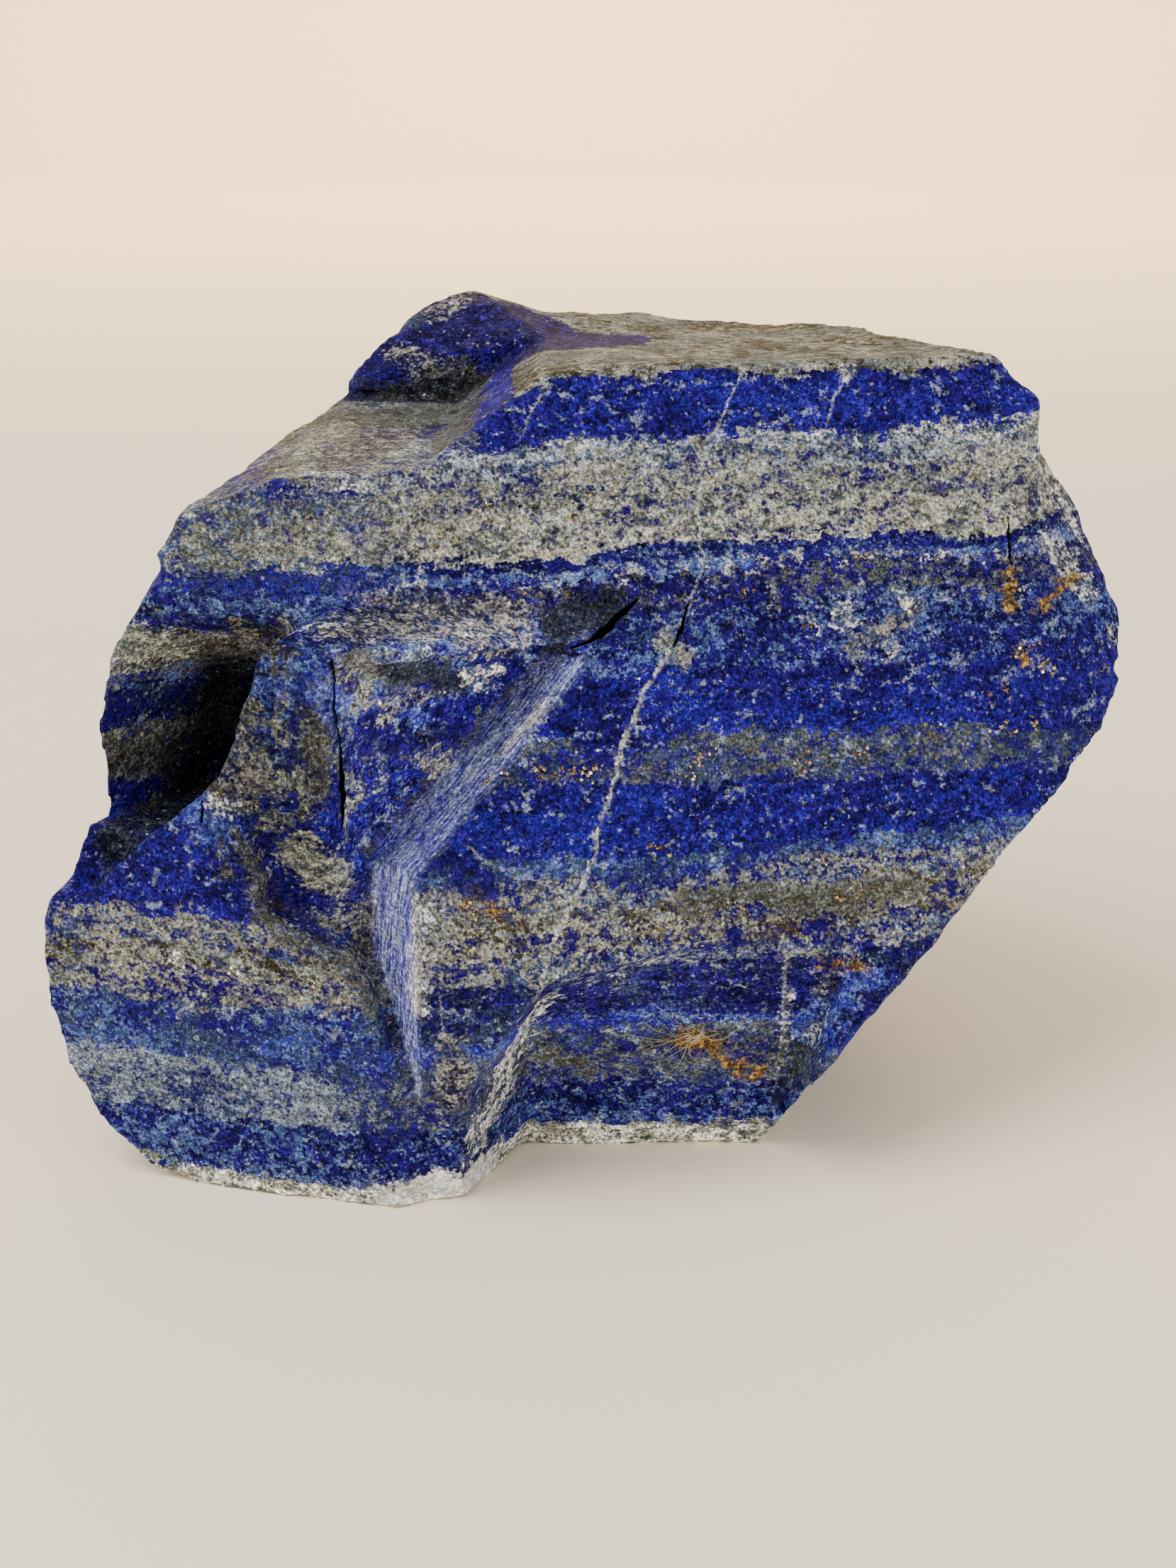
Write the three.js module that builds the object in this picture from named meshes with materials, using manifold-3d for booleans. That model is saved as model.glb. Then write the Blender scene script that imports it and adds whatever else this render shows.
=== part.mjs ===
// Lapis lazuli specimen: one broken block of layered rock, 104 mm wide, resting on its own parting
// face. Millimetres, +X to the right, +Y towards the back, +Z up.
//
// The layers lie flat, so the base and the top are both parting faces. The front is one large break
// that leans back and turns to the right. Blocks that stand proud of it or fall short of it are
// joined on as convex chunks, and the hollows are broken out of the sum.

import * as THREE from "three";
import { ConvexGeometry } from "three/addons/geometries/ConvexGeometry.js";
import { mergeVertices } from "three/addons/utils/BufferGeometryUtils.js";
import Module from "manifold-3d";

const wasm = await Module();
wasm.setup();

// Driving dimensions.
const TOP = 74.5;         // height of the grey parting face on top
const STEP = 67;          // height of the lower parting face at the upper left
const LEDGE = 54;         // height of the ledge half way up the front
const FRONT_FOOT = -9.4;  // where the big front break would meet the ground, at x = 0
const FRONT_LEAN = 0.45;  // how far the front break goes back for each millimetre up
const FRONT_TURN = 0.293; // how far it goes back for each millimetre to the right
const LOBE_FOOT = -4.3;   // the same three for the face of the lobe at the lower left
const LOBE_LEAN = -0.037;
const LOBE_TURN = -0.257;
const WING = 12;          // how far back the left wing of the front stands
const KNOB = 78;          // height of the knob at the back left

// A corner on the big front break, and a corner on the face of the lobe.
const front = (x, z) => [x, FRONT_FOOT + FRONT_TURN * x + FRONT_LEAN * z, z];
const lobeFace = (x, z) => [x, LOBE_FOOT + LOBE_TURN * x + LOBE_LEAN * z, z];

// A closed convex chunk around its corners, as a solid that can be joined and cut.
function chunk(corners) {
  const points = corners.map((corner) => new THREE.Vector3(...corner));
  const geometry = new ConvexGeometry(points);
  geometry.deleteAttribute("normal");
  const merged = mergeVertices(geometry, 1e-4);
  return new wasm.Manifold(new wasm.Mesh({
    numProp: 3,
    vertProperties: new Float32Array(merged.attributes.position.array),
    triVerts: new Uint32Array(merged.index.array),
  }));
}

// The core: the front break, the top parting face, and the parts of the back and the base behind
// them. Its lower left edge is the toe, which stands almost upright under the front break.
const core = chunk([
  // front break, clockwise from its upper left end
  front(-4, TOP),
  front(40.5, TOP),
  front(41.7, 64),
  front(42.2, 38.5),
  front(39, 29),
  front(30.7, 20.7),
  front(19, 10.3),
  front(-15, 28),
  front(-16, 35),
  front(-14.5, STEP),
  front(-13.4, 68.4),
  front(-8, 72),
  // toe, down to the base
  [-15.3, -1, 19],
  [-13.5, 1, 4],
  [-15.2, 2, 0],
  [-11.3, 2.2, 0],
  // wall on the left of the toe
  [-21, 8, 32],
  [-20.8, 8, 21.5],
  [-19.5, 6.5, 10.5],
  // back edge of the top
  [-5, 75, TOP],
  [4, 68, TOP],
  [15, 65, TOP],
  [25, 62, TOP],
  [30, 51.5, TOP],
  [35.5, 42.5, TOP],
  // right end and back
  [40, 46, 60],
  [41, 42, 36],
  [36, 58, 50],
  [22, 74, 54],
  [-6, 80, 58],
  [-14, 64, STEP],
  [-12, 78, 30],
  [16, 74, 20],
  [34, 52, 20],
  // base
  [-12, 66, 0],
  [14, 64, 0],
  [24, 44, 0],
  [19, 22, 0],
  [16.5, 14, 0],
]);

// The upper right corner of the front break.
const corner = chunk([
  front(40.4, TOP),
  front(44.2, 70),
  front(44, 64.8),
  front(41, 60),
  [35.5, 42.4, TOP],
  [43.5, 44, 66],
  [38, 44, 56],
]);

// The cheek: a bulge at the right end that turns away from the front along an upright crease.
const cheek = chunk([
  // crease
  front(41.6, 64.2),
  front(41.5, 57.6),
  front(42, 48),
  front(42.3, 38.5),
  // outline
  [44.6, 36, 64.7],
  [48, 36.5, 60.2],
  [49.5, 36, 57.5],
  [50.8, 35, 54],
  [53.2, 33, 49],
  [53.2, 30.5, 43.2],
  [51.1, 26, 39.3],
  [47.8, 22, 36.6],
  front(43.7, 33.3),
  front(38.5, 28.6),
  // behind
  [45.5, 50, 56],
  [45.5, 48, 42],
  [33, 58, 54],
  [33, 50, 36],
  [30, 34, 30],
]);

// The wing: the left part, a parting face on top and a front that stands back from the break.
const wing = chunk([
  // top edge of its front
  front(-11.4, STEP + 0.4),
  front(-14.4, STEP),
  [-18, WING + 1.3, STEP],
  [-20.5, WING + 2, STEP],
  [-23.6, WING + 0.3, STEP],
  [-27.7, WING - 0.8, STEP],
  [-32.4, WING - 1, 65.3],
  [-36, WING + 1, 64],
  [-37.2, WING - 1, 62.8],
  // foot of its front, and the left end
  front(-11, 56),
  [-18.5, WING - 2.3, 57],
  [-28, WING - 2.4, 54.5],
  [-37.5, WING - 1.2, 56],
  [-38.3, WING - 0.8, 60],
  [-42.8, WING, 52.5],
  [-45.1, WING, 46.8],
  [-45.6, WING, 36],
  [-8, 15, 50],
  [-24, 16, 36],
  // parting face and its edge down to the left
  [-33.7, 17, 64.6],
  [-32.7, 23, 65.2],
  [-30, 31, 66.3],
  [-25.5, 40, 67.5],
  [-25, 54, 68],
  [-10, 56, 68],
  // left and back
  [-33, 50, 58],
  [-42, 32, 44],
  [-40, 46, 30],
  [-31, 62, 42],
  [-16, 69, 62],
  [-5, 78.5, 50],
  [-14, 75, 24],
  [-27, 66, 18],
  // base
  [-36, 20, 0],
  [-34, 44, 0],
  [-24, 60, 0],
  [-8, 65, 0],
  [-8, 20, 0],
]);

// The knob: what is left of the top layer at the back left, with a steep wall below it in front.
const knob = chunk([
  [-12.6, 61, KNOB],
  [-14.9, 59, KNOB - 0.4],
  [-18.2, 55.5, 75.6],
  [-21.4, 53.5, 73.8],
  [-23.6, 51, 71.5],
  [-25.2, 49, 69.7],
  [-24.5, 51.5, STEP],
  [-17, 52, STEP],
  [-9, 50, STEP],
  [-10.4, 64, 76.7],
  [-7, 70, 74.6],
  [-4, 66, TOP],
  [-4, 50, TOP],
  [-24, 57, 60],
  [-17, 67, 60],
  [-8, 76, 60],
  [-6, 56, 58],
]);

// The hollow: broken out of the wing, deepest behind the edge of the pillar.
const hollow = chunk([
  // near edge, round the left end and under the wing
  [-46, 12.4, 34],
  [-45.3, 12.2, 40],
  [-44.6, 12.2, 46.8],
  [-42.4, 12.2, 52.5],
  [-37.5, 10.7, 55.4],
  [-28, 9.5, 54.4],
  [-21, 9.4, 54.2],
  // carried on past the stone
  [-53, 2, 36],
  [-53, 2, 47],
  [-40, -4, 60],
  [-21, -4, 60],
  [-30, -2, 34],
  [-20, -4, 50],
  // deepest line
  [-26, 15, 50.5],
  [-31, 19.5, 47],
  [-33.4, 22, 44.5],
  [-35.4, 23.5, 39],
  [-38.5, 21, 34],
  [-26, 24, 44],
  [-28, 25, 36],
]);

// The lobe: the lower left block, the part nearest the viewer. Its face is cut off in steps along
// the crease that parts it from the pillar and the toe.
const lobe = chunk([
  // face, from the left end round to the toe
  lobeFace(-49.9, 28.5),
  lobeFace(-29.1, 28.2),
  lobeFace(-22.3, 25),
  lobeFace(-20.3, 22.3),
  lobeFace(-19.3, 19),
  [-18.9, 0.3, 12],
  [-15.6, 0.8, 8],
  [-15.1, 1.8, 0],
  lobeFace(-17.8, 0),
  lobeFace(-22.4, 0),
  lobeFace(-26.3, 0),
  lobeFace(-31.8, 0),
  lobeFace(-38, 0),
  lobeFace(-41.3, 0.4),
  lobeFace(-44.1, 3),
  lobeFace(-46.6, 5.2),
  lobeFace(-49.2, 9.8),
  lobeFace(-51, 17.5),
  lobeFace(-51.2, 22.7),
  lobeFace(-51, 25.8),
  // wall of the crease
  [-29, 6.5, 28.7],
  [-22.5, 6.5, 25.6],
  [-20.2, 6, 22.7],
  [-19, 5.5, 12],
  // left end and behind
  [-50.3, 9, 28],
  [-48.6, 10.5, 29.4],
  [-42, 34, 31],
  [-46.5, 30, 24],
  [-45, 30, 9],
  [-39, 36, 0],
  [-12, 30, 0],
  [-20, 22, 24],
]);

// The rim of the lobe, which rises to the right and hides the foot of the hollow.
const rim = chunk([
  lobeFace(-46.7, 29.1),
  lobeFace(-39.4, 35.9),
  lobeFace(-33, 41.3),
  lobeFace(-30.8, 38),
  lobeFace(-29.8, 32),
  lobeFace(-29.1, 28.1),
  lobeFace(-29.1, 20),
  lobeFace(-48, 20),
  [-46, 9, 28.6],
  [-39, 8, 34.9],
  [-33, 7, 40],
  [-29, 7, 38],
  [-29, 7, 22],
  [-40, 20, 26],
  [-28, 18, 30],
]);

// The nub: a small block at the left end, between the hollow and the rim.
const nub = chunk([
  [-46.7, 11.5, 34.3],
  [-45.8, 13.5, 34.4],
  [-41, 10, 33.8],
  [-47, 11.2, 32.4],
  [-48.7, 10, 29.4],
  [-43, 8.5, 29],
  [-37, 14, 33],
  [-37, 22, 30],
  [-44, 22, 28],
]);

// The pillar: the block between the hollow and the groove, with the ledge on top of it.
const pillar = chunk([
  // ledge, back edge then rim
  [-22.3, 9, LEDGE + 2.1],
  [-24.1, 6, LEDGE + 1.4],
  [-16.6, 10.4, LEDGE + 0.9],
  [-9.3, 12.3, LEDGE + 0.1],
  [-28.5, 1.5, LEDGE - 0.5],
  [-22.3, 0.5, LEDGE],
  [-16.5, 2.7, LEDGE - 0.7],
  [-11.3, 5.9, LEDGE - 1.3],
  [-7, 9.7, LEDGE - 1.9],
  [-2.8, 12.7, LEDGE - 2.7],
  [-2.4, 19.8, LEDGE - 4],
  // left edge, down to the lobe
  [-29.2, 1, 51.3],
  [-30.1, 1.5, 48.3],
  [-31.5, 2, 45.2],
  [-33, 2.6, 41.4],
  [-31, 3.6, 38],
  [-30, 4.6, 31.7],
  [-29, 5.2, 27.7],
  [-22, 6.5, 24],
  // front
  [-22.2, 1, 49.5],
  [-22.1, 1.5, 44.9],
  [-22.5, 2.8, 38.4],
  [-22.4, 4.6, 34.5],
  // behind
  [-24, 22, 52],
  [-5, 24, 49],
  [-22, 22, 25],
  [-10, 30, 36],
]);

// The groove: a break that runs down to the left between the pillar and the front break. Its right
// wall is the polished slip face.
const groove = chunk([
  // keel
  [-2.4, 16.7, 50.9],
  [-7.2, 14.9, 46.2],
  [-12.2, 11.3, 41.5],
  [-17, 8.2, 36.7],
  [-20.7, 7.6, 32.4],
  // right wall, carried on past the front break
  [0.3, 13.4, 50.6],
  [8.2, 3.9, 50.3],
  [4.6, -4.3, 45.4],
  [-0.6, -8.7, 38.8],
  [-5, -12.6, 36.4],
  // left wall, carried on past the pillar
  [-27.5, -3.4, 52.2],
  [-28.2, -2.7, 32.6],
]);

// The recess: broken out of the lower right front, down to the base.
const recess = chunk([
  // back wall
  [-4.5, 5, 19],
  [-5.7, 9, 13],
  [-5, 12, 5.6],
  [-6.3, 14, -1],
  [11.5, 8, 15.7],
  [16, 11, 9],
  [16.5, 14.3, -1],
  // roof, carried on past the front break
  [-1.3, -15.8, 34.6],
  [10.3, -6.1, 31.3],
  // right wall, carried on past its edge
  [28.5, 3.7, 33.4],
  [18.4, -8.6, 15.6],
  [17.5, -8.6, -1],
  // left wall, carried on past the toe
  [-8.7, -10, 21.4],
  [-16.8, -10, 9.6],
  [-16.3, -9.6, -1],
]);

const solid = core
  .add(corner)
  .add(cheek)
  .add(wing)
  .add(knob)
  .subtract(hollow)
  .add(lobe)
  .add(rim)
  .add(nub)
  .add(pillar)
  .subtract(groove)
  .subtract(recess);

// The stone as one geometry, moved so that the origin is under the middle of its bounding box.
function stoneGeometry() {
  const mesh = solid.getMesh();
  const geometry = new THREE.BufferGeometry();
  geometry.setAttribute("position", new THREE.BufferAttribute(mesh.vertProperties, 3));
  geometry.setIndex(new THREE.BufferAttribute(mesh.triVerts, 1));
  geometry.computeBoundingBox();
  const box = geometry.boundingBox;
  const middle = box.getCenter(new THREE.Vector3());
  geometry.translate(-middle.x, -middle.y, -box.min.z);
  geometry.computeVertexNormals();
  return geometry;
}

const lapis = new THREE.MeshStandardMaterial({ color: 0x2a3080, roughness: 0.62, metalness: 0 });
const stone = new THREE.Mesh(stoneGeometry(), lapis);
stone.name = "stone";

const specimen = new THREE.Group();
specimen.add(stone);

export default specimen;
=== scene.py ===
import math
import random

import bmesh
import bpy
from mathutils import Matrix, Vector, noise
from mathutils.bvhtree import BVHTree


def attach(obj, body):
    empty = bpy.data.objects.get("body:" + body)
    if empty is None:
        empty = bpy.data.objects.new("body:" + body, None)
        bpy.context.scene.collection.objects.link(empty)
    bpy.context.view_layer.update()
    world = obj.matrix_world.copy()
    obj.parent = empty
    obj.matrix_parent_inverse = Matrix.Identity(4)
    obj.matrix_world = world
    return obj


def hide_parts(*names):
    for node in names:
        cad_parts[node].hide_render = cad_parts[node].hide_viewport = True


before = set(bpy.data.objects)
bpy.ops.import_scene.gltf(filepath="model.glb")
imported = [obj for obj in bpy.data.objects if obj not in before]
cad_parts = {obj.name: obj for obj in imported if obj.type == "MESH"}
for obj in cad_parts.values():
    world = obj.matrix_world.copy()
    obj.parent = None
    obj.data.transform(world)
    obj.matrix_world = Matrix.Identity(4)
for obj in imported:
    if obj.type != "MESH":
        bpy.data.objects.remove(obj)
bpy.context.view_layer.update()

# ---------------------------------------------------------------------------------------------
# The stone: one broken block of lapis lazuli. Blue lazurite lies in flat layers with grey and
# beige diopside, white calcite and a little pyrite. It was split along its layers above and below
# and broken across them in front, and it rests on the lower parting face.

MM = 0.001
ZERO = Vector((1.0, 39.4, 0.0))     # the middle of the base in the axes of the part's source, mm
VOXEL = 0.71                        # mm, the side of the small even faces


def place(x, y, z):
    """A point given in the axes of the part's source, in mm, as a point of the scene."""
    return (Vector((x, y, z)) - ZERO) * MM


def source(co):
    """The reverse: a point of the scene in the axes of the part's source, in mm."""
    return co / MM + ZERO


def smooth(low, high, value):
    """0 below low, 1 above high and an S-curve between."""
    t = min(max((value - low) / (high - low), 0.0), 1.0)
    return t * t * (3 - 2 * t)


def tone(point, size, octaves=3, seed=0.0):
    """Layered noise from about -1 to 1, with features of that size in mm."""
    return noise.fractal(point / size + Vector((seed, -seed, seed * 0.7)), 1.0, 2.0, octaves)


class Path:
    """A line through points in the source's axes, with a value at each point."""

    def __init__(self, points, reach, values=None):
        self.points = [Vector(p) for p in points]
        self.values = values or [1.0] * len(points)
        self.low = [min(p[i] for p in self.points) - reach for i in range(3)]
        self.high = [max(p[i] for p in self.points) + reach for i in range(3)]

    def near(self, point):
        """Whether the point is in the box around the line."""
        x, y, z = point
        low, high = self.low, self.high
        return low[2] < z < high[2] and low[0] < x < high[0] and low[1] < y < high[1]

    def nearest(self, point):
        """Distance, value there, the span's start and run, and how far past an end, in mm."""
        if len(self.points) == 1:
            return (point - self.points[0]).length, self.values[0], None, None, 0.0
        best = None
        last = len(self.points) - 2
        for index, (a, b) in enumerate(zip(self.points, self.points[1:])):
            run = b - a
            along = (point - a).dot(run) / run.length_squared
            t = min(max(along, 0.0), 1.0)
            gap = (point - (a + run * t)).length
            if best is None or gap < best[0]:
                over = -along if index == 0 else 0.0
                if index == last:
                    over = max(over, along - 1)
                value = self.values[index] * (1 - t) + self.values[index + 1] * t
                best = (gap, value, a, run, max(over, 0.0) * run.length)
        return best


# The two polished slip strips: a point on each, its normal, and the way its streaks run.
STRIP_HIGH = (Vector((-9.3, 6.3, 40.8)), Vector((-0.49, -0.39, 0.78)), Vector((0.65, 0.44, 0.62)))
STRIP_LOW = (Vector((-15.1, -1.0, 24.0)), Vector((-0.83, -0.55, 0.0)), Vector((-0.10, 0.12, -0.98)))


def slip(point, normal):
    """How far a point belongs to one of the slip strips: (upper, lower)."""
    off = abs((point - STRIP_HIGH[0]).dot(STRIP_HIGH[1]))
    upper = (1 - smooth(0.8, 1.8, off)) * smooth(0.75, 0.92, normal.dot(STRIP_HIGH[1]))
    upper *= smooth(31.5, 33.5, point.z) * (1 - smooth(50.5, 52.0, point.z))
    upper *= smooth(-22, -20, point.x) * (1 - smooth(1, 3, point.x))
    lower = smooth(0.78, 0.93, normal.dot(STRIP_LOW[1])) * smooth(-23, -21, point.x)
    lower *= (1 - smooth(-15.5, -13.5, point.x)) * smooth(9, 13, point.z)
    lower *= (1 - smooth(33, 35, point.z)) * (1 - smooth(9, 11, point.y))
    return upper, lower


# Hollows that a flake left: the line along the bottom, half the width and the depth, in mm.
DENTS = [
    ([(-2.4, 13.8, 53.0), (2.2, 15.6, 54.0)], 2.6, 1.5),
    ([(1.6, 14.3, 51.6), (6.0, 15.6, 50.6)], 1.2, 0.5),
    ([(-9.6, 21.0, 75.5), (-8.0, 19.0, 73.5)], 3.0, 0.8),
    ([(51.5, 29.0, 44.5), (53.5, 31.0, 44.0)], 1.2, 0.7),
    ([(-33.0, 3.0, 20.0), (-28.0, 2.0, 17.0)], 3.2, 0.5),
]
DENTS = [(Path(points, 2 * half), half, depth) for points, half, depth in DENTS]


def relief(point, normal):
    """How far the broken surface stands out of the plain faces of the CAD solid, in mm."""
    slips = max(slip(point, normal))
    broken = 1 - 0.85 * slips
    up = smooth(0.75, 0.95, normal.z)
    hidden = smooth(45, 60, point.y)
    stretched = Vector((point.x, point.y, point.z * 3.2))
    height = 0.50 * tone(point, 26, 2, 3.1) * (1 + hidden)
    height += 0.30 * tone(stretched, 13, 3, 7.7) * (1 - 0.5 * up)
    height += 0.22 * tone(point, 3.6, 3, 1.9) * (1 - 0.45 * up)
    height += 0.9 * hidden * tone(point, 12, 3, 5.5)
    height *= broken
    for path, half, depth in DENTS:
        if path.near(point):
            height -= depth * (1 - smooth(0.2, 1.0, path.nearest(point)[0] / half))
    return height


# Cracks: the points they run through with half the width at each, the depth, and the way in.
CRACKS = [
    ([(4.6, 16.5, 54.5, 0.08), (4.1, 16.2, 54.0, 0.20), (3.3, 15.7, 53.4, 0.30),
      (2.3, 14.9, 52.5, 0.40), (1.4, 14.3, 51.9, 0.42), (0.4, 13.5, 51.3, 0.16),
      (-1.4, 12.9, 50.9, 0.10)], 3.0, (-0.26, 0.88, -0.40)),
    ([(9.4, 17.6, 54.1, 0.06), (9.1, 17.1, 53.0, 0.18), (8.6, 16.2, 51.4, 0.26),
      (8.0, 15.4, 50.2, 0.06)], 2.0, (-0.26, 0.88, -0.40)),
    ([(41.0, 29.3, 59.6, 0.12), (41.1, 28.4, 57.3, 0.20), (41.2, 27.7, 55.3, 0.10)], 1.5,
     (-0.26, 0.88, -0.40)),
    ([(-22.3, 0.7, 52.6, 0.14), (-22.2, 1.0, 50.5, 0.09), (-22.4, 1.4, 48.0, 0.11),
      (-22.1, 1.9, 44.6, 0.09), (-22.2, 2.2, 41.8, 0.22), (-22.3, 2.4, 39.6, 0.30),
      (-22.4, 2.9, 37.6, 0.22), (-22.4, 3.6, 36.0, 0.07)], 2.2, (0.1, 1.0, 0.0)),
    ([(-34.6, 3.1, 39.0, 0.12), (-34.7, 3.2, 37.2, 0.20)], 1.0, (0.2, 1.0, 0.0)),
    ([(-23.3, 9.4, 55.5, 0.12), (-20.9, 7.9, 55.3, 0.16), (-17.2, 9.6, 55.1, 0.10)], 0.9,
     (0.2, 0.6, -0.7)),
]


def cut_cracks(mesh, layer):
    """Refines the mesh along each crack and pushes its floor in; the layer keeps the depth."""
    for rows, depth, way in CRACKS:
        inward = Vector(way).normalized()
        points = [Vector(row[:3]) for row in rows]
        front = min(point.dot(inward) for point in points) - 2
        back = max(point.dot(inward) for point in points) + 2
        flat = [point - inward * point.dot(inward) for point in points]
        path = Path(flat, 3, [row[3] for row in rows])

        def gap_at(point):
            """How far beside the crack a point is, and half the crack's width there."""
            level = point.dot(inward)
            beside = point - inward * level
            if level < front or level > back or not path.near(beside):
                return 9.0, 0.0
            return path.nearest(beside)[:2]

        for reach in (2.0, 1.2, 0.7):
            edges = {}
            for face in mesh.faces:
                if gap_at(source(face.verts[0].co))[0] < reach:
                    edges.update(dict.fromkeys(face.edges))
            bmesh.ops.subdivide_edges(mesh, edges=list(edges), cuts=1, use_grid_fill=True)
        for vert in mesh.verts:
            point = source(vert.co)
            gap, half = gap_at(point + 0.14 * noise.noise_vector(point / 0.9))
            if gap < half:
                part = (1 - gap / half) ** 0.5
                vert.co += inward * (depth * MM * part)
                vert[layer] = max(vert[layer], part)


# Thin veins: points, half the width at each in mm, and how strongly each shows.
VEINS = [
    [(14.8, 28.2, 74.0, 0.09), (11.9, 24.9, 68.4, 0.105), (10.7, 24.2, 67.7, 0.15),
     (10.7, 22.7, 64.3, 0.15), (10.3, 20.3, 59.4, 0.165), (11.0, 19.7, 57.4, 0.12),
     (9.4, 17.7, 54.1, 0.12), (9.2, 17.2, 53.1, 0.105), (8.1, 15.7, 50.6, 0.12),
     (6.9, 14.6, 48.8, 0.225), (5.4, 13.4, 47.0, 0.195), (4.5, 12.1, 44.8, 0.255),
     (3.9, 11.4, 43.7, 0.285), (3.0, 10.3, 41.9, 0.33), (2.4, 8.8, 38.9, 0.18),
     (1.3, 7.4, 36.4, 0.21), (0.4, 5.4, 32.6, 0.165), (-1.1, 3.7, 29.9, 0.225),
     (-2.7, 2.1, 27.3, 0.18), (-3.7, 0.7, 24.8, 0.225), (-4.3, -0.6, 22.5, 0.225)],
    [(24.9, 31.0, 73.6, 0.075), (23.6, 29.4, 70.8, 0.12), (22.4, 27.8, 68.0, 0.09)],
    [(-4.4, 21.8, 72.3, 0.105), (-5.3, 20.9, 70.9, 0.105), (-6.0, 20.1, 69.5, 0.06)],
    [(-10.7, 3.1, 34.7, 0.06), (-8.3, 3.1, 33.1, 0.105), (-4.1, 3.5, 31.4, 0.12),
     (-1.9, 3.6, 30.2, 0.075)],
    [(18.4, 7.0, 22.5, 0.15), (18.6, 8.9, 16.2, 0.225), (18.1, 11.7, 7.4, 0.15)],
    [(-13.3, -1.0, 21.0, 0.105), (-13.2, -0.8, 18.2, 0.075)],
    [(-11.3, 17.6, 67.3, 0.12), (-11.5, 16.1, 64.2, 0.075), (-11.2, 14.6, 60.6, 0.105),
     (-11.3, 13.4, 58.2, 0.06)],
]
POWERS = [1.0, 0.9, 1.0, 0.8, 0.7, 0.9, 0.9]
VEINS = [Path([row[:3] for row in rows], 4, [row[3] for row in rows]) for rows in VEINS]


def vein_at(path, power, point):
    """A vein's signed distance, half its width in mm, and how strongly it shows at a point."""
    if not path.near(point):
        return Vector((9.0, 0.0, 0.0))
    gap, half, start, run, over = path.nearest(point)
    side = run.cross(Vector((0, 1, 0))).normalized()
    shown = power * (1 - smooth(0.0, 1.5, over)) * (1 - smooth(3.0, 4.0, gap))
    return Vector(((point - start).dot(side), half, shown))


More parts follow.
